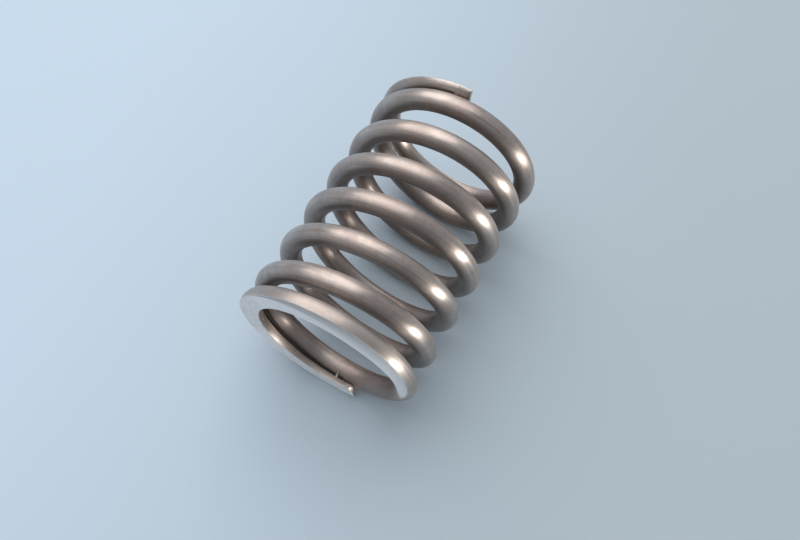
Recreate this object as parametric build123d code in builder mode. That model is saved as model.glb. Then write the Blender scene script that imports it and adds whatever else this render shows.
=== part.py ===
from build123d import *
from math import cos, pi, sin
import os

os.makedirs("parts", exist_ok=True)

# Compression spring, closed and ground, right-hand wound, millimetres.
# Frame: the coil axis is +Z, the spring stands on its ground end in the plane z = 0,
# and the wire's lower tip starts on the +X side.

# Wire and coil
WIRE_DIA = 2.8            # round wire
OUTER_DIA = 24.0          # over the coils
FREE_LENGTH = 35.5        # between the two ground faces, unloaded
TOTAL_TURNS = 7.565       # tip to tip

# Winding
CLOSED_TURNS = 0.95       # wound shut at each end
BLEND_TURNS = 0.35        # over which the pitch opens up
SHUT_CLEARANCE = 0.05     # clear gap between the shut coils

# Ends
TIP_THICKNESS = 0.90      # left above the ground face at the wire's tip
LIP_LENGTH = 1.7          # slope of the cropped tip, along the wire
RUN_OUT_TURNS = 0.05      # wire past each tip before it is cropped

# Centreline sampling
POINTS_PER_TURN = 24

WIRE_R = WIRE_DIA / 2
MEAN_R = (OUTER_DIA - WIRE_DIA) / 2
SHUT_PITCH = WIRE_DIA + SHUT_CLEARANCE
TIP_SINK = WIRE_R - TIP_THICKNESS
ACTIVE_WEIGHT = TOTAL_TURNS - 2 * CLOSED_TURNS - BLEND_TURNS
RISE = FREE_LENGTH + 2 * TIP_SINK
ACTIVE_PITCH = SHUT_PITCH + (RISE - SHUT_PITCH * TOTAL_TURNS) / ACTIVE_WEIGHT
SHUT_SLOPE = SHUT_PITCH / (2 * pi * MEAN_R)
CROP_BACK = 2 * WIRE_DIA


def opened(turns):
    """Length of active winding, in turns, up to a distance from a tip.

    Args:
        turns: Distance along the coil from the tip, in turns.

    Returns:
        The integral of the 0-to-1 opening of the pitch over that distance.
    """
    u = (turns - CLOSED_TURNS) / BLEND_TURNS
    if u <= 0:
        return 0.0
    if u >= 1:
        return BLEND_TURNS * (u - 0.5)
    return BLEND_TURNS * (u**3 - u**4 / 2)


def height(turns):
    """Height of the wire's centreline.

    Args:
        turns: Distance along the coil from the lower tip, in turns.

    Returns:
        The centreline's z.
    """
    half = TOTAL_TURNS / 2
    if turns <= half:
        return -TIP_SINK + SHUT_PITCH * turns + (ACTIVE_PITCH - SHUT_PITCH) * opened(turns)
    return FREE_LENGTH - height(TOTAL_TURNS - turns)


def centre(turns):
    """Point on the wire's centreline.

    Args:
        turns: Distance along the coil from the lower tip, in turns.

    Returns:
        The point as an (x, y, z) tuple.
    """
    angle = 2 * pi * turns
    return (MEAN_R * cos(angle), MEAN_R * sin(angle), height(turns))


def crop_top(along):
    """Height of the middle of the gap above the tip, where the crop ends.

    Args:
        along: Distance along the wire from the tip.

    Returns:
        The height above the ground face.
    """
    return TIP_THICKNESS + SHUT_CLEARANCE / 2 + SHUT_SLOPE * along


span = TOTAL_TURNS + 2 * RUN_OUT_TURNS
steps = round(span * POINTS_PER_TURN)
stations = [-RUN_OUT_TURNS + span * i / steps for i in range(steps + 1)]
upper_angle = 360 * TOTAL_TURNS

with BuildPart() as coil_spring:
    # The wire, drawn along the variable-pitch coil
    with BuildLine() as coil_path:
        Spline([centre(t) for t in stations])
    with BuildSketch(Plane(origin=coil_path.line @ 0, z_dir=coil_path.line % 0)) as wire_section:
        Circle(WIRE_R)
    sweep(sections=wire_section.sketch, path=coil_path.line, is_frenet=True)

    # Both ends ground flat and square to the axis
    split(bisect_by=Plane.XY, keep=Keep.TOP)
    split(bisect_by=Plane.XY.offset(FREE_LENGTH), keep=Keep.BOTTOM)

    # The lower tip, cropped on the slant before grinding
    with BuildSketch(Plane.YZ.offset(MEAN_R)) as lower_crop:
        with BuildLine():
            Polyline(
                (-CROP_BACK, -WIRE_R),
                (-LIP_LENGTH * WIRE_R / crop_top(LIP_LENGTH), -WIRE_R),
                (LIP_LENGTH, crop_top(LIP_LENGTH)),
                (-CROP_BACK, crop_top(-CROP_BACK)),
                close=True,
            )
        make_face()
    extrude(amount=WIRE_DIA, both=True, mode=Mode.SUBTRACT)

    # The upper tip, the same, turned end for end
    upper_frame = Plane(origin=(0, 0, FREE_LENGTH)).rotated((0, 0, upper_angle))
    with BuildSketch(Plane.YZ.offset(MEAN_R)) as upper_crop:
        with BuildLine():
            Polyline(
                (CROP_BACK, WIRE_R),
                (LIP_LENGTH * WIRE_R / crop_top(LIP_LENGTH), WIRE_R),
                (-LIP_LENGTH, -crop_top(LIP_LENGTH)),
                (CROP_BACK, -crop_top(-CROP_BACK)),
                close=True,
            )
        make_face()
    upper_block = extrude(amount=WIRE_DIA, both=True, mode=Mode.PRIVATE)
    add(upper_frame * upper_block, mode=Mode.SUBTRACT)

coil_spring.part.label = "coil_spring"
export_step(coil_spring.part, "parts/coil_spring.step")
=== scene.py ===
"""Dresses a small compression spring in its drawn steel and sets it in a pale studio."""
import logging
import math
from dataclasses import dataclass, field
from enum import Enum

import bmesh
import bpy
from mathutils import Matrix, Vector


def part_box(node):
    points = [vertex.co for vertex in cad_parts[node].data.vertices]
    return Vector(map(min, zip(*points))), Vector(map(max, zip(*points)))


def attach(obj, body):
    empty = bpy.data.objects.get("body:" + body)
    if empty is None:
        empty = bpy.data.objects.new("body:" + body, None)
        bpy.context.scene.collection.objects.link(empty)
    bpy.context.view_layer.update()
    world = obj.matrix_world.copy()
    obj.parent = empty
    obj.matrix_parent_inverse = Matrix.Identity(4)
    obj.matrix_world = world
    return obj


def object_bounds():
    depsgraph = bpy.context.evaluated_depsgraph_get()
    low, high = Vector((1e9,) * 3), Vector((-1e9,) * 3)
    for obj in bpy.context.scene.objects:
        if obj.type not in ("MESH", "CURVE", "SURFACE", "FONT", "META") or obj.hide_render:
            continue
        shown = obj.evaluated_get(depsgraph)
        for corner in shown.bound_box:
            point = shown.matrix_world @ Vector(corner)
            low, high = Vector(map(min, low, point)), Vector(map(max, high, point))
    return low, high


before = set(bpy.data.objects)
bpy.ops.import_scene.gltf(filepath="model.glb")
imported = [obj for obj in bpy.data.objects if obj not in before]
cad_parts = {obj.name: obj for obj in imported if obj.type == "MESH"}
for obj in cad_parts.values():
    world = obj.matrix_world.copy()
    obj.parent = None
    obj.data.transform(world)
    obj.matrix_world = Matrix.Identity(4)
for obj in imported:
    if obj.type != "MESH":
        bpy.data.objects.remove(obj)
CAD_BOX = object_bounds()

LOG = logging.getLogger("spring")
COIL_NODE = "coil_spring"
MM = 0.001
QUAD = 4
SHARP_ANGLE = math.radians(35)

FLOAT = "NodeSocketFloat"
VECTOR = "NodeSocketVector"

Triple = tuple[float, float, float]
Colour = tuple[float, float, float]
Socket = bpy.types.NodeSocket
Materials = list[bpy.types.Material]


class Ray(Enum):
    """The kinds of ray that a stage surface may be seen by."""

    CAMERA = "visible_camera"
    DIFFUSE = "visible_diffuse"
    GLOSSY = "visible_glossy"
    TRANSMISSION = "visible_transmission"
    SHADOW = "visible_shadow"


class Bench:
    """A node tree with short calls that add, set and join its nodes."""

    def __init__(self, tree: bpy.types.NodeTree) -> None:
        """Takes the tree that the nodes go into.

        Args:
            tree: a material's, a world's or a group's node tree.
        """
        self.tree = tree
        self.column = 0

    def add(self, kind: str, **settings: object) -> bpy.types.Node:
        """Adds one node.

        Args:
            kind: the node's bl_idname.
            settings: properties to set on the node.

        Returns:
            The new node.
        """
        node = self.tree.nodes.new(kind)
        for name, value in settings.items():
            setattr(node, name, value)
        node.location = (200 * self.column, 0)
        self.column += 1
        return node

    def feed(self, socket: Socket, value: object) -> None:
        """Joins a socket to another, or writes a plain value on it.

        Args:
            socket: the input socket.
            value: an output socket, a number or a tuple.
        """
        if isinstance(value, bpy.types.NodeSocket):
            self.tree.links.new(value, socket)
        else:
            socket.default_value = value

    def math(self, operation: str, *values: object, clamp: bool = False) -> Socket:
        """Adds a Math node.

        Args:
            operation: its operation.
            values: its operands, as sockets or numbers.
            clamp: True to hold the result between 0 and 1.

        Returns:
            Its output socket.
        """
        node = self.add("ShaderNodeMath", operation=operation, use_clamp=clamp)
        for socket, value in zip(node.inputs, values):
            self.feed(socket, value)
        return node.outputs[0]

    def ramp(self, value: Socket, low: float, high: float, start: float = 0.0,
             end: float = 1.0, smooth: bool = True) -> Socket:
        """Maps a value from one span to another, held at both ends.

        Args:
            value: the value to map.
            low: where the span starts.
            high: where the span ends.
            start: the result at low.
            end: the result at high.
            smooth: True for a smooth step, False for a straight one.

        Returns:
            The mapped value.
        """
        kind = "SMOOTHSTEP" if smooth else "LINEAR"
        node = self.add("ShaderNodeMapRange", interpolation_type=kind, clamp=True)
        spans = {"From Min": low, "From Max": high, "To Min": start, "To Max": end}
        for name, number in spans.items():
            node.inputs[name].default_value = number
        self.feed(node.inputs["Value"], value)
        return node.outputs["Result"]

    def noise(self, vector: Socket, scale: float, detail: float = 2.0, rough: float = 0.5) -> Socket:
        """Adds a Noise Texture.

        Args:
            vector: where it is read.
            scale: how many times it repeats in a metre.
            detail: how many finer layers it has.
            rough: how strong the finer layers are.

        Returns:
            Its value, about 0.5 on average.
        """
        node = self.add("ShaderNodeTexNoise")
        self.feed(node.inputs["Vector"], vector)
        node.inputs["Scale"].default_value = scale
        node.inputs["Detail"].default_value = detail
        node.inputs["Roughness"].default_value = rough
        return node.outputs["Fac"]

    def blend(self, share: object, first: object, second: object, mode: str = "MIX") -> Socket:
        """Mixes two colours.

        Args:
            share: how much of the second colour shows.
            first: the first colour, as a socket or three numbers.
            second: the second colour, as a socket or three numbers.
            mode: the Mix node's blend type.

        Returns:
            The mixed colour.
        """
        node = self.add("ShaderNodeMix", data_type="RGBA", blend_type=mode)
        self.feed(node.inputs[0], share)
        for socket, value in ((node.inputs[6], first), (node.inputs[7], second)):
            self.feed(socket, value if isinstance(value, bpy.types.NodeSocket) else (*value, 1.0))
        return node.outputs[2]

    def combine(self, x: object, y: object, z: object) -> Socket:
        """Puts three values together as a vector.

        Args:
            x: the first value.
            y: the second value.
            z: the third value.

        Returns:
            The vector.
        """
        node = self.add("ShaderNodeCombineXYZ")
        for socket, value in zip(node.inputs, (x, y, z)):
            self.feed(socket, value)
        return node.outputs[0]

    def split(self, vector: Socket) -> tuple[Socket, Socket, Socket]:
        """Takes a vector apart.

        Args:
            vector: the vector.

        Returns:
            Its three values.
        """
        node = self.add("ShaderNodeSeparateXYZ")
        self.feed(node.inputs[0], vector)
        return node.outputs[0], node.outputs[1], node.outputs[2]

    def along(self, vector: Socket, way: Triple) -> Socket:
        """Measures how far a vector reaches in a fixed direction.

        Args:
            vector: the vector.
            way: the direction.

        Returns:
            Their dot product.
        """
        node = self.add("ShaderNodeVectorMath", operation="DOT_PRODUCT")
        self.feed(node.inputs[0], vector)
        self.feed(node.inputs[1], way)
        return node.outputs["Value"]

    def choose(self, share: Socket, first: Socket, second: Socket) -> Socket:
        """Mixes two shaders.

        Args:
            share: how much of the second shader shows.
            first: the first shader.
            second: the second shader.

        Returns:
            The mixed shader.
        """
        node = self.add("ShaderNodeMixShader")
        for socket, value in zip(node.inputs, (share, first, second)):
            self.feed(socket, value)
        return node.outputs[0]

    def lean(self, normal: Socket, toward: Socket, share: Socket) -> Socket:
        """Leans a normal toward a direction.

        Args:
            normal: the normal to start from.
            toward: the direction that it leans to.
            share: how far it goes, from 0 to 1.

        Returns:
            The leaning normal, one unit long.
        """
        mixed = self.add("ShaderNodeMix", data_type="VECTOR")
        for slot, value in ((0, share), (4, normal), (5, toward)):
            self.feed(mixed.inputs[slot], value)
        unit = self.add("ShaderNodeVectorMath", operation="NORMALIZE")
        self.feed(unit.inputs[0], mixed.outputs[1])
        return unit.outputs[0]

    def group(self, tree: bpy.types.NodeTree, **values: object) -> bpy.types.Node:
        """Places a node group.

        Args:
            tree: the group.
            values: what its inputs get, with _ for a space in a name.

        Returns:
            The group's node.
        """
        node = self.add("ShaderNodeGroup")
        node.node_tree = tree
        for name, value in values.items():
            self.feed(node.inputs[name.replace("_", " ")], value)
        return node


def new_group(name: str, inputs: dict[str, str],
              outputs: dict[str, str]) -> tuple[Bench, dict, dict]:
    """Starts a shader node group.

    Args:
        name: the group's name.
        inputs: each input's name and socket type.
        outputs: each output's name and socket type.

    Returns:
        The group's bench, its inputs by name and its output sockets by name.
    """
    tree = bpy.data.node_groups.new(name, "ShaderNodeTree")
    for title, kind in inputs.items():
        tree.interface.new_socket(title, in_out="INPUT", socket_type=kind)
    for title, kind in outputs.items():
        tree.interface.new_socket(title, in_out="OUTPUT", socket_type=kind)
    bench = Bench(tree)
    given = bench.add("NodeGroupInput")
    result = bench.add("NodeGroupOutput")
    return bench, {t: given.outputs[t] for t in inputs}, {t: result.inputs[t] for t in outputs}


def new_material(name: str) -> tuple[bpy.types.Material, Bench, bpy.types.Node]:
    """Starts a material with a Principled BSDF.

    Args:
        name: the material's name.

    Returns:
        The material, its bench and its Principled BSDF.
    """
    material = bpy.data.materials.new(name)
    material.use_nodes = True
    material.node_tree.nodes.clear()
    bench = Bench(material.node_tree)
    output = bench.add("ShaderNodeOutputMaterial")
    shader = bench.add("ShaderNodeBsdfPrincipled")
    bench.feed(output.inputs["Surface"], shader.outputs[0])
    return material, bench, shader


@dataclass
class CoilPlan:
    """How the wire runs, as the spring is wound.

    The two ends lie shut for about a turn, and the turns between stand open at an even pitch.
    """

    wire_dia: float = 2.8 * MM
    shut_pitch: float = 2.85 * MM
    shut_turns: float = 1.125
    turns: float = 7.565
    tip_sink: float = 0.5 * MM
    ground_lean: Triple = (-0.0167, -0.042, 0.0)
    ground_rise: float = 0.12 * MM
    middle_band: tuple[float, float] = (0.49, 0.51)
    low: Vector = field(default_factory=lambda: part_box(COIL_NODE)[0])
    high: Vector = field(default_factory=lambda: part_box(COIL_NODE)[1])

    @property
    def length(self) -> float:
        """The free length between the ground faces."""
        return self.high.z - self.low.z

    @property
    def mean_radius(self) -> float:
        """The radius of the wire's centre line."""
        return (self.high.x - self.low.x - self.wire_dia) / 2

    @property
    def shut_height(self) -> float:
        """How high the centre line stands where the shut end opens."""
        return self.shut_pitch * self.shut_turns - self.tip_sink

    @property
    def upper_end(self) -> Matrix:
        """The move that takes the lower end of the spring to the upper end."""
        turn_over = Matrix.Rotation(math.pi, 4, "X")
        around = Matrix.Rotation(2 * math.pi * self.turns, 4, "Z")
        return Matrix.Translation((0.0, 0.0, self.length)) @ around @ turn_over

    def wire_place(self) -> bpy.types.NodeTree:
        """Builds the group that finds a point's place on the wire.

        Returns:
            A group that turns a place in the frame into one along and across the wire.
        """
        bench, given, result = new_group(
            "Wire Place", {"Place": VECTOR}, {"Along": FLOAT, "Out": FLOAT, "Up": FLOAT})
        x, y, z = bench.split(given["Place"])
        low, high = self.shut_height, self.length - self.shut_height
        last_shut = self.turns - self.shut_turns
        share = bench.math("DIVIDE", bench.math("ARCTAN2", y, x), 2 * math.pi)
        shut = bench.ramp(z, -self.tip_sink, low, 0.0, self.shut_turns, smooth=False)
        wide = bench.ramp(z, low, high, 0.0, last_shut - self.shut_turns, smooth=False)
        top = bench.ramp(z, high, self.length + self.tip_sink, 0.0, self.shut_turns, smooth=False)
        near = bench.math("ADD", bench.math("ADD", shut, wide), top)
        whole = bench.math("ROUND", bench.math("SUBTRACT", near, share))
        turn = bench.math("ADD", whole, share)
        rise = bench.ramp(turn, 0.0, self.shut_turns, -self.tip_sink, low, smooth=False)
        climb = bench.ramp(turn, self.shut_turns, last_shut, 0.0, high - low, smooth=False)
        crown = bench.ramp(turn, last_shut, self.turns, 0.0, self.length + self.tip_sink - high,
                           smooth=False)
        height = bench.math("ADD", bench.math("ADD", rise, climb), crown)
        square = bench.math("ADD", bench.math("MULTIPLY", x, x), bench.math("MULTIPLY", y, y))
        reach = bench.math("SQRT", square)
        bench.feed(result["Out"], bench.math("SUBTRACT", reach, self.mean_radius))
        bench.feed(result["Up"], bench.math("SUBTRACT", z, height))
        bench.feed(result["Along"], bench.math("MULTIPLY", turn, 2 * math.pi * self.mean_radius))
        return bench.tree

    def ground_place(self) -> bpy.types.NodeTree:
        """Builds the group that finds how far a point stands from the nearer ground face.

        The grinding wheel met each end a little out of square, so its mark runs further along the
        wire on one side of the coil.

        Returns:
            A group with the distance from the nearer ground mark, the height above the lower one and
            the way that the mark faces.
        """
        bench, given, result = new_group(
            "Ground Place", {"Place": VECTOR}, {"Depth": FLOAT, "Above": FLOAT, "Facing": VECTOR})
        z = bench.split(given["Place"])[2]
        slope = bench.along(given["Place"], self.ground_lean)
        cut = bench.math("MAXIMUM", bench.math("ADD", slope, self.ground_rise), 0.0)
        above = bench.math("SUBTRACT", z, cut)
        below = bench.math("SUBTRACT", self.length, z)
        bench.feed(result["Depth"], bench.math("MINIMUM", above, below))
        bench.feed(result["Above"], above)
        low, high = (self.length * share for share in self.middle_band)
        half = bench.ramp(z, low, high, -1.0, 1.0)
        bench.feed(result["Facing"], bench.combine(0.0, 0.0, half))
        return bench.tree


@dataclass
class SteelEffects:
    """The node groups that every steel finish shares."""

    plan: CoilPlan
    cloud_noise: Triple = (170.0, 3.0, 0.55)
    cloud_span: tuple[float, float] = (0.36, 0.66)
    cloud_share: float = 0.7
    speck_noise: Triple = (1400.0, 3.0, 0.6)
    speck_span: tuple[float, float] = (0.30, 0.75)
    speck_share: float = 0.3
    fine_noise: Triple = (9000.0, 2.0, 0.6)
    fine_share: float = 0.55
    wide_noise: Triple = (2600.0, 2.0, 0.5)
    wide_share: float = 0.45
    line_stretch: float = 0.02
    wire: bpy.types.NodeTree = field(init=False)
    ends: bpy.types.NodeTree = field(init=False)
    clouds: bpy.types.NodeTree = field(init=False)
    lines: bpy.types.NodeTree = field(init=False)

    def __post_init__(self) -> None:
        """Builds each group once."""
        self.wire = self.plan.wire_place()
        self.ends = self.plan.ground_place()
        self.clouds = self.patina()
        self.lines = self.drawing_lines()

    def patina(self) -> bpy.types.NodeTree:
        """Builds the group for the soft clouds of the brown skin.

        Returns:
            A group with a mask that is high where the skin is thick, and its fine grain.
        """
        bench, given, result = new_group(
            "Patina Clouds", {"Place": VECTOR}, {"Mask": FLOAT, "Grain": FLOAT})
        broad = bench.noise(given["Place"], *self.cloud_noise)
        fine = bench.noise(given["Place"], *self.speck_noise)
        cloud = bench.math("MULTIPLY", bench.ramp(broad, *self.cloud_span), self.cloud_share)
        speck = bench.math("MULTIPLY", bench.ramp(fine, *self.speck_span), self.speck_share)
        bench.feed(result["Mask"], bench.math("ADD", cloud, speck))
        bench.feed(result["Grain"], fine)
        return bench.tree

    def drawing_lines(self) -> bpy.types.NodeTree:
        """Builds the group for the fine lines that the die leaves along the wire.

        Returns:
            A group with the height of the lines.
        """
        bench, given, result = new_group(
            "Drawing Lines", {"Along": FLOAT, "Out": FLOAT, "Up": FLOAT}, {"Height": FLOAT})
        slow = bench.math("MULTIPLY", given["Along"], self.line_stretch)
        place = bench.combine(slow, given["Out"], given["Up"])
        fine = bench.math("MULTIPLY", bench.noise(place, *self.fine_noise), self.fine_share)
        wide = bench.math("MULTIPLY", bench.noise(place, *self.wide_noise), self.wide_share)
        bench.feed(result["Height"], bench.math("ADD", fine, wide))
        return bench.tree


@dataclass(frozen=True)
class DrawnSteel:
    """The finish of drawn spring wire: satin, with a thin brown skin, fine lines along it and painted
    shade on the lower and inner side of each turn.
    """

    name: str = "drawn spring steel"
    steel: Colour = (0.53, 0.452, 0.405)
    skin: Colour = (0.385, 0.31, 0.28)
    # Painted shade: the dark colour laid on the lower and inner side of each turn
    underside_shade: Colour = (0.12, 0.10, 0.09)
    underside_shade_share: float = 0.56
    underside_shade_out: float = 0.25
    underside_shade_span: tuple[float, float] = (-0.15, -1.05)
    bare: Colour = (0.62, 0.545, 0.49)
    rim_span: tuple[float, float] = (0.42 * MM, 0.06 * MM)
    rim_share: float = 0.40
    worn_span: tuple[float, float] = (2.6 * MM, 0.6 * MM)
    worn_share: float = 0.32
    ground: Colour = (0.88, 0.87, 0.87)
    ground_span: tuple[float, float] = (0.12 * MM, -0.05 * MM)
    ground_ragged: float = 0.16 * MM
    ground_roughness: float = 0.55
    ground_metal: float = 0.25
    line_span: tuple[float, float] = (0.30, 0.70)
    line_shade: tuple[float, float] = (0.74, 1.20)
    line_roughness: tuple[float, float] = (-0.05, 0.05)
    line_pull: float = 0.75
    line_strength: float = 0.5
    line_depth: float = 0.008 * MM
    roughness: float = 0.37
    skin_roughness: float = 0.06
    worn_roughness: float = 0.28
    quarter_turn: float = 0.25

    def material(self, effects: SteelEffects) -> bpy.types.Material:
        """Makes a steel material.

        Args:
            effects: the groups that it uses.

        Returns:
            The finished material.
        """
        material, bench, shader = new_material(self.name)
        place = bench.add("ShaderNodeTexCoord").outputs["Object"]
        wire = bench.group(effects.wire, Place=place).outputs
        lines = bench.group(
            effects.lines, Along=wire["Along"], Out=wire["Out"], Up=wire["Up"]).outputs["Height"]
        clouds = bench.group(effects.clouds, Place=place).outputs
        ends = bench.group(effects.ends, Place=place).outputs

        # Where the ground face, its worn rim and the worn end coil lie
        grain = bench.math("SUBTRACT", clouds["Grain"], 0.5)
        deep = bench.math("ADD", ends["Depth"], bench.math("MULTIPLY", grain, self.ground_ragged))
        flat = bench.ramp(deep, *self.ground_span)
        rim = bench.math("MULTIPLY", bench.ramp(deep, *self.rim_span), self.rim_share)
        worn = bench.math("MULTIPLY", bench.ramp(ends["Above"], *self.worn_span), self.worn_share)

        # Colour: skin over steel, painted shade below, lines along, bare metal where it is worn
        colour = bench.blend(clouds["Mask"], self.steel, self.skin)
        # Painted shade: darken the lower and inner side of each turn, where shadow falls
        under = bench.math("ADD", wire["Up"], bench.math("MULTIPLY", wire["Out"], self.underside_shade_out))
        low, high = (share * effects.plan.wire_dia / 2 for share in self.underside_shade_span)
        colour = bench.blend(bench.ramp(under, low, high, 0.0, self.underside_shade_share), colour, self.underside_shade)
        shade = bench.ramp(lines, *self.line_span, *self.line_shade, smooth=False)
        colour = bench.blend(1.0, colour, bench.combine(shade, shade, shade), "MULTIPLY")
        colour = bench.blend(bench.math("ADD", rim, worn), colour, self.bare)
        bench.feed(shader.inputs["Base Color"], bench.blend(flat, colour, self.ground))

        # Roughness: lines, skin and wear on the wire, and even on the ground face
        streak = bench.ramp(lines, *self.line_span, *self.line_roughness)
        rough = bench.math("ADD", streak, self.roughness)
        rough = bench.math("ADD", rough, bench.math("MULTIPLY", clouds["Mask"], self.skin_roughness))
        rough = bench.math("ADD", rough, bench.math("MULTIPLY", worn, self.worn_roughness))
        gap = bench.math("SUBTRACT", self.ground_roughness, rough)
        rough = bench.math("ADD", rough, bench.math("MULTIPLY", gap, flat))
        bench.feed(shader.inputs["Roughness"], rough)
        dull = bench.math("MULTIPLY", flat, 1.0 - self.ground_metal)
        bench.feed(shader.inputs["Metallic"], bench.math("SUBTRACT", 1.0, dull))

        # The lines draw the sheen out across the wire
        x, y, _ = bench.split(place)
        bench.feed(shader.inputs["Tangent"], bench.combine(bench.math("MULTIPLY", y, -1.0), x, 0.0))
        shader.inputs["Anisotropic"].default_value = self.line_pull
        shader.inputs["Anisotropic Rotation"].default_value = self.quarter_turn
        bump = bench.add("ShaderNodeBump")
        bump.inputs["Strength"].default_value = self.line_strength
        bump.inputs["Distance"].default_value = self.line_depth
        bench.feed(bump.inputs["Height"], lines)
        bench.feed(shader.inputs["Normal"], bench.lean(bump.outputs["Normal"], ends["Facing"], flat))
        return material


class Shape:
    """A small mesh that is shaped in place and then set on the spring."""

    def __init__(self, name: str) -> None:
        """Starts an empty mesh.

        Args:
            name: the finished piece's name.
        """
        self.name = name
        self.bm = bmesh.new()

    def rod(self, start: Vector, end: Vector, radius: float, end_radius: float, sides: int) -> None:
        """Adds a straight rod.

        Args:
            start: the middle of its first end.
            end: the middle of its other end.
            radius: its radius at the start.
            end_radius: its radius at the end.
            sides: how many sides it has.
        """
        run = end - start
        turn = run.to_track_quat("Z", "Y").to_matrix().to_4x4()
        spot = Matrix.Translation((start + end) / 2) @ turn
        bmesh.ops.create_cone(self.bm, cap_ends=True, segments=sides, radius1=radius,
                              radius2=end_radius, depth=run.length, matrix=spot)

    def round_rims(self, reach: float, steps: int) -> None:
        """Rounds the rims of the two end caps.

        Args:
            reach: how far the rounding goes.
            steps: how many rows of faces it has.
        """
        caps = [f for f in self.bm.faces if len(f.verts) > QUAD]
        rims = list({e for f in caps for e in f.edges})
        bmesh.ops.bevel(self.bm, geom=rims, affect="EDGES", offset=reach, segments=steps, profile=0.5,
                        material=-1)

    def cut_below(self, height: float) -> None:
        """Cuts the shape off level and closes it.

        Args:
            height: where the cut lies.
        """
        parts = [*self.bm.verts, *self.bm.edges, *self.bm.faces]
        cut = bmesh.ops.bisect_plane(self.bm, geom=parts, plane_co=(0.0, 0.0, height),
                                     plane_no=(0.0, 0.0, -1.0), clear_outer=True)
        edges = [g for g in cut["geom_cut"] if isinstance(g, bmesh.types.BMEdge)]
        bmesh.ops.edgeloop_fill(self.bm, edges=edges)

    def mark_start(self, reach: float) -> None:
        """Gives the faces at the start of the shape the second material.

        Args:
            reach: how far along Y the second material goes.
        """
        for face in self.bm.faces:
            if face.calc_center_median().y < reach:
                face.material_index = 1

    def finish(self, materials: Materials, place: Matrix = Matrix.Identity(4)) -> None:
        """Turns the shape into a piece that goes with the spring.

        Args:
            materials: the piece's materials, in the order of their slots.
            place: where the shape goes.
        """
        bmesh.ops.transform(self.bm, matrix=place, verts=self.bm.verts)
        bmesh.ops.recalc_face_normals(self.bm, faces=self.bm.faces)
        mesh = bpy.data.meshes.new(self.name)
        self.bm.to_mesh(mesh)
        self.bm.free()
        for material in materials:
            mesh.materials.append(material)
        mesh.shade_smooth()
        mesh.set_sharp_from_angle(angle=SHARP_ANGLE)
        piece = bpy.data.objects.new(self.name, mesh)
        bpy.context.scene.collection.objects.link(piece)
        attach(piece, "root")
        LOG.info("%s: %d faces", self.name, len(mesh.polygons))


@dataclass(frozen=True)
class GapShade:
    """Painted shade: a near-black, quite matt fill that stands in for the shadow in a shut gap."""

    name: str = "painted gap shade"
    dark: Colour = (0.020, 0.017, 0.015)
    pale: Colour = (0.050, 0.042, 0.036)
    grain: tuple[float, float] = (1500.0, 3.0)
    grain_span: tuple[float, float] = (0.3, 0.7)
    roughness: tuple[float, float] = (0.6, 0.9)

    def material(self) -> bpy.types.Material:
        """Makes the dirt's material.

        Returns:
            The finished material.
        """
        material, bench, shader = new_material(self.name)
        place = bench.add("ShaderNodeTexCoord").outputs["Object"]
        grain = bench.noise(place, *self.grain)
        bench.feed(shader.inputs["Base Color"], bench.blend(grain, self.dark, self.pale))
        rough = bench.ramp(grain, *self.grain_span, *self.roughness)
        bench.feed(shader.inputs["Roughness"], rough)
        return material


@dataclass
class GapShadeStrips:
    """A dark strip of painted shade laid in the shut gap beside each tip, where the contact shadow
    between the coils falls.
    """

    plan: CoilPlan
    start: float = 0.03
    end: float = 0.29
    steps: int = 60
    sides: int = 16
    half_width: float = 0.75 * MM
    half_height: float = 0.16 * MM
    opening: float = 0.22 * MM

    def build(self, gap_shade_material: bpy.types.Material) -> None:
        """Adds the painted gap shade at both ends of the spring.

        Args:
            gap_shade_material: the material of the painted gap shade.
        """
        self.line("lower_gap_shade", Matrix.Identity(4), gap_shade_material)
        self.line("upper_gap_shade", self.plan.upper_end, gap_shade_material)

    def line(self, name: str, place: Matrix, gap_shade_material: bpy.types.Material) -> None:
        """Adds the painted gap shade at one end of the spring.

        Args:
            name: the piece's name.
            place: from the lower end to the end that it belongs to.
            gap_shade_material: the material of the painted gap shade.
        """
        shape = Shape(name)
        gap = self.plan.shut_pitch / 2 - self.plan.tip_sink
        spot = Vector((self.plan.mean_radius, 0.0, gap + self.plan.shut_pitch * self.start))
        rise = self.plan.shut_pitch * (self.end - self.start) + self.opening
        flat = Matrix.Diagonal((self.half_width, self.half_height, 1.0, 1.0))
        stand = Matrix.Translation(spot) @ Matrix.Rotation(math.pi / 2, 4, "X") @ flat
        turn = Matrix.Rotation(2 * math.pi * self.start, 4, "Z")
        bmesh.ops.create_circle(shape.bm, segments=self.sides, radius=1.0, matrix=turn @ stand)
        bmesh.ops.spin(shape.bm, geom=[*shape.bm.verts, *shape.bm.edges], cent=(0.0, 0.0, 0.0),
                       axis=(0.0, 0.0, 1.0), dvec=(0.0, 0.0, rise / self.steps),
                       angle=2 * math.pi * (self.end - self.start), steps=self.steps)
        bmesh.ops.holes_fill(shape.bm, edges=[e for e in shape.bm.edges if e.is_boundary])
        shape.finish([gap_shade_material], place)


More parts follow.
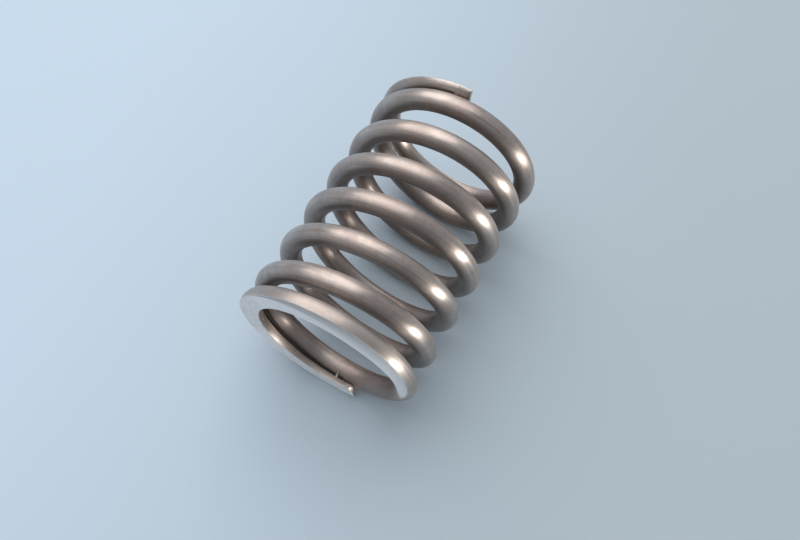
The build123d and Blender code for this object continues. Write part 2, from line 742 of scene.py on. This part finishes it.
@dataclass
class CutTips:
    """The blunt ends of the wire where it was sheared off, and the burr that the shears left."""

    plan: CoilPlan
    reach: float = 1.73 * MM
    start: float = 0.12 * MM
    shrink: float = 0.012 * MM
    rounding: float = 0.22 * MM
    lift: float = 0.004 * MM
    rounding_steps: int = 4
    sides: int = 96
    marked: float = 0.8
    burr_foot: Triple = (9.85 * MM, 2.60 * MM, 0.34 * MM)
    burr_point: Triple = (9.25 * MM, 2.55 * MM, 1.62 * MM)
    burr_radius: float = 0.30 * MM
    burr_point_radius: float = 0.13 * MM
    burr_rounding: float = 0.6
    burr_steps: int = 2
    burr_sides: int = 16

    def blunt_end(self, name: str, place: Matrix, steels: Materials) -> None:
        """Adds the last stretch of wire at one tip.

        Args:
            name: the piece's name.
            place: from the lower tip to the tip that it belongs to.
            steels: the material of its side and that of its end face.
        """
        shape = Shape(name)
        start = Vector((self.plan.mean_radius, self.start, -self.plan.tip_sink))
        radius = self.plan.wire_dia / 2 - self.shrink
        shape.rod(start, start + Vector((0.0, self.reach, 0.0)), radius, radius, self.sides)
        shape.round_rims(self.rounding, self.rounding_steps)
        shape.cut_below(self.lift)
        shape.mark_start(self.start + self.rounding * self.marked)
        shape.finish(steels, place)

    def burr(self, steel: bpy.types.Material) -> None:
        """Adds the small sliver that stands up inside the lower tip.

        Args:
            steel: its material.
        """
        shape = Shape("shear_burr")
        shape.rod(Vector(self.burr_foot), Vector(self.burr_point), self.burr_radius,
                  self.burr_point_radius, self.burr_sides)
        shape.round_rims(self.burr_point_radius * self.burr_rounding, self.burr_steps)
        shape.finish([steel])

    def build(self, steel: bpy.types.Material, dull: bpy.types.Material,
              bare: bpy.types.Material) -> None:
        """Adds both wire ends and the burr.

        Args:
            steel: the wire's material.
            dull: the material of the upper end face, a duller sheared finish darkened further as painted
                shade.
            bare: the material of freshly sheared steel.
        """
        self.blunt_end("lower_wire_end", Matrix.Identity(4), [bare, bare])
        self.blunt_end("upper_wire_end", self.plan.upper_end, [steel, dull])
        self.burr(bare)


@dataclass
class CoilSpring:
    """The spring itself: one wound wire with closed and ground ends."""

    plan: CoilPlan = field(default_factory=CoilPlan)
    finish: DrawnSteel = field(default_factory=DrawnSteel)
    sheared: DrawnSteel = field(default_factory=lambda: DrawnSteel(
        name="sheared steel", steel=(0.74, 0.65, 0.60), skin=(0.56, 0.47, 0.42), roughness=0.44))
    # The upper end face: a duller sheared finish, darkened further as painted shade
    dull: DrawnSteel = field(default_factory=lambda: DrawnSteel(
        name="dull steel with painted shade", steel=(0.22, 0.185, 0.165), skin=(0.15, 0.125, 0.11),
        bare=(0.30, 0.26, 0.23), ground=(0.36, 0.33, 0.31), roughness=0.48))
    # Painted shade for the shut gaps: a dark fill where only shadow falls
    gap_shade: GapShade = field(default_factory=GapShade)

    def dress(self) -> None:
        """Gives the wound wire its finish, its blunt tips and the painted shade in its gaps."""
        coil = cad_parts[COIL_NODE]
        effects = SteelEffects(self.plan)
        steel = self.finish.material(effects)
        if not coil.material_slots:
            coil.data.materials.append(steel)
        for slot in coil.material_slots:
            slot.material = steel
        CutTips(self.plan).build(steel, self.dull.material(effects), self.sheared.material(effects))
        GapShadeStrips(self.plan).build(self.gap_shade.material())
        LOG.info("%s: wire %.2f mm, mean radius %.2f mm, length %.2f mm", COIL_NODE,
                 self.plan.wire_dia / MM, self.plan.mean_radius / MM, self.plan.length / MM)


@dataclass(frozen=True)
class Lamp:
    """A soft panel lamp that faces the spring."""

    name: str
    toward: Triple
    distance: float
    size: tuple[float, float]
    watts: float
    colour: Colour = (1.0, 1.0, 1.0)

    def hang(self, centre: Vector) -> None:
        """Hangs the lamp.

        Args:
            centre: the point that it faces.
        """
        data = bpy.data.lights.new(self.name, "AREA")
        data.shape = "ELLIPSE"
        data.size, data.size_y = self.size
        data.energy = self.watts
        data.color = self.colour
        lamp = bpy.data.objects.new(self.name, data)
        way = Vector(self.toward).normalized()
        lamp.location = centre + way * self.distance
        lamp.rotation_euler = way.to_track_quat("Z", "Y").to_euler()
        bpy.context.scene.collection.objects.link(lamp)
        LOG.info("lamp %s: %.2f W at %.2f m", self.name, self.watts, self.distance)


@dataclass(frozen=True)
class OneSidedCloth:
    """A pale surface that shows from its front only, darkened along one direction toward its tint as
    painted shade.
    """

    name: str
    colour: Colour
    shaded_tint: Colour
    shade_falloff: Triple = (0.412, -0.829, 0.208)
    shade_falloff_reach: float = 48 * MM
    cloud_scale: float = 9.0
    cloud_share: float = 0.2
    roughness: float = 0.95
    shine: float = 0.1

    def material(self) -> bpy.types.Material:
        """Makes the surface's material.

        Returns:
            A matt material that is clear from behind.
        """
        material, bench, shader = new_material(self.name)
        place = bench.add("ShaderNodeTexCoord").outputs["Object"]
        # Painted shade: the colour darkens toward the tint along one direction, a painted falloff of the
        # light
        shade_falloff = bench.ramp(bench.along(place, self.shade_falloff), -self.shade_falloff_reach, self.shade_falloff_reach)
        cloud = bench.math("SUBTRACT", bench.noise(place, self.cloud_scale), 0.5)
        share = bench.math("ADD", shade_falloff, bench.math("MULTIPLY", cloud, self.cloud_share), clamp=True)
        bench.feed(shader.inputs["Base Color"], bench.blend(share, self.colour, self.shaded_tint))
        shader.inputs["Roughness"].default_value = self.roughness
        shader.inputs["Specular IOR Level"].default_value = self.shine
        behind = bench.add("ShaderNodeNewGeometry").outputs["Backfacing"]
        clear = bench.add("ShaderNodeBsdfTransparent").outputs[0]
        surface = shader.outputs[0].links[0].to_socket
        bench.feed(surface, bench.choose(behind, shader.outputs[0], clear))
        return material


@dataclass(frozen=True)
class Panel:
    """One flat stage surface, placed by its facing and its middle."""

    name: str
    facing: Triple
    middle: Triple
    width: float
    cloth: OneSidedCloth
    unseen: tuple[Ray, ...] = ()

    def build(self) -> None:
        """Makes the panel, gives it its cloth and hides it from the rays that must not see it."""
        mesh = bpy.data.meshes.new(self.name)
        bm = bmesh.new()
        bmesh.ops.create_grid(bm, x_segments=1, y_segments=1, size=self.width / 2)
        turn = Vector(self.facing).to_track_quat("Z", "Y").to_matrix().to_4x4()
        bmesh.ops.transform(bm, matrix=Matrix.Translation(self.middle) @ turn, verts=bm.verts)
        bm.to_mesh(mesh)
        bm.free()
        panel = bpy.data.objects.new(self.name, mesh)
        bpy.context.scene.collection.objects.link(panel)
        mesh.materials.append(self.cloth.material())
        for ray in self.unseen:
            setattr(panel, ray.value, False)
        LOG.info("stage %s: %.2f m wide", self.name, self.width)


@dataclass
class Studio:
    """The pale floor, the backdrop that the spring's side rests against, the lamps and the air."""

    centre: Vector
    side_radius: float
    side_facing: Triple = (-0.949, -0.3153, 0.0)
    clearance: float = 0.02 * MM
    backdrop_width: float = 1.6
    floor_width: float = 3.0
    air: Colour = (0.62, 0.68, 0.74)
    air_rise: Triple = (-0.549, 0.286, 0.785)
    air_reach: float = 0.7
    air_levels: tuple[float, float] = (0.46, 0.94)
    seen_level: float = 0.95

    def panels(self) -> list[Panel]:
        """Lists the stage surfaces.

        Returns:
            The floor and the backdrop.
        """
        facing = Vector(self.side_facing).normalized()
        lean = Vector((0.0, 0.0, self.centre.z)) - facing * (self.side_radius + self.clearance)
        # Each cloth's second colour is the painted shade that its falloff reaches
        backdrop = OneSidedCloth("pale blue cloth", (0.50, 0.59, 0.68), (0.40, 0.46, 0.50))
        floor = OneSidedCloth("pale floor", (0.53, 0.62, 0.70), (0.50, 0.59, 0.67))
        camera_only = (Ray.DIFFUSE, Ray.GLOSSY, Ray.TRANSMISSION, Ray.SHADOW)
        return [
            Panel("backdrop", tuple(facing), tuple(lean), self.backdrop_width, backdrop, (Ray.SHADOW,)),
            Panel("floor", (0.0, 0.0, 1.0), (0.0, 0.0, -self.clearance), self.floor_width, floor,
                  camera_only),
        ]

    def lamps(self) -> list[Lamp]:
        """Lists the lamps.

        Returns:
            The large soft key and the smaller side lamp.
        """
        return [
            Lamp("key", (-0.91, 0.06, 0.27), 0.50, (0.70, 0.70), 2.6, (1.0, 0.985, 0.965)),
            Lamp("side", (0.395, -0.905, -0.12), 0.60, (0.05, 0.10), 2.1, (1.0, 0.96, 0.90)),
        ]

    def world(self) -> None:
        """Fills the air with soft light, paler from above the spring's side."""
        scene = bpy.context.scene
        scene.world = bpy.data.worlds.new("studio air")
        scene.world.use_nodes = True
        tree = scene.world.node_tree
        tree.nodes.clear()
        bench = Bench(tree)
        output = bench.add("ShaderNodeOutputWorld")
        way = bench.along(bench.add("ShaderNodeTexCoord").outputs["Generated"], self.air_rise)
        level = bench.ramp(way, -self.air_reach, self.air_reach, *self.air_levels)
        light, seen = (bench.add("ShaderNodeBackground") for _ in range(2))
        for backdrop, strength in ((light, level), (seen, self.seen_level)):
            bench.feed(backdrop.inputs["Color"], (*self.air, 1.0))
            bench.feed(backdrop.inputs["Strength"], strength)
        camera_ray = bench.add("ShaderNodeLightPath").outputs["Is Camera Ray"]
        bench.feed(output.inputs["Surface"], bench.choose(camera_ray, light.outputs[0], seen.outputs[0]))

    def build(self) -> None:
        """Sets up the surfaces, the lamps and the air."""
        for panel in self.panels():
            panel.build()
        for lamp in self.lamps():
            lamp.hang(self.centre)
        self.world()


@dataclass(frozen=True)
class Viewpoint:
    """Where the camera stands: an azimuth, a height, a roll and a distance from its aim."""

    azimuth: float = -58.37
    elevation: float = -22.05
    roll: float = 32.1
    distance: float = 106.58 * MM
    aim: Triple = (2.17 * MM, -1.54 * MM, 15.18 * MM)
    lens: float = 37.08
    sensor: float = 36.0
    clip: tuple[float, float] = (0.005, 5.0)

    def place(self) -> None:
        """Makes the camera and gives it to the scene."""
        data = bpy.data.cameras.new("camera")
        data.lens = self.lens
        data.sensor_width = self.sensor
        data.clip_start, data.clip_end = self.clip
        camera = bpy.data.objects.new("camera", data)
        a, e = math.radians(self.azimuth), math.radians(self.elevation)
        back = Vector((math.sin(a) * math.cos(e), -math.cos(a) * math.cos(e), math.sin(e)))
        level = (-back).to_track_quat("-Z", "Y").to_matrix().to_4x4()
        spot = Matrix.Translation(Vector(self.aim) + back * self.distance)
        camera.matrix_world = spot @ level @ Matrix.Rotation(math.radians(self.roll), 4, "Z")
        bpy.context.scene.collection.objects.link(camera)
        bpy.context.scene.camera = camera
        LOG.info("camera: %.1f mm lens at %.1f mm", self.lens, self.distance / MM)


def main() -> None:
    """Builds the camera, the spring and the studio in order."""
    logging.basicConfig(level=logging.INFO, format="%(name)s: %(message)s")
    bpy.context.scene.view_settings.view_transform = "Standard"
    Viewpoint().place()
    spring = CoilSpring()
    spring.dress()
    low, high = CAD_BOX
    Studio(centre=(low + high) / 2, side_radius=(high.x - low.x) / 2).build()


if __name__ == "__main__":
    main()
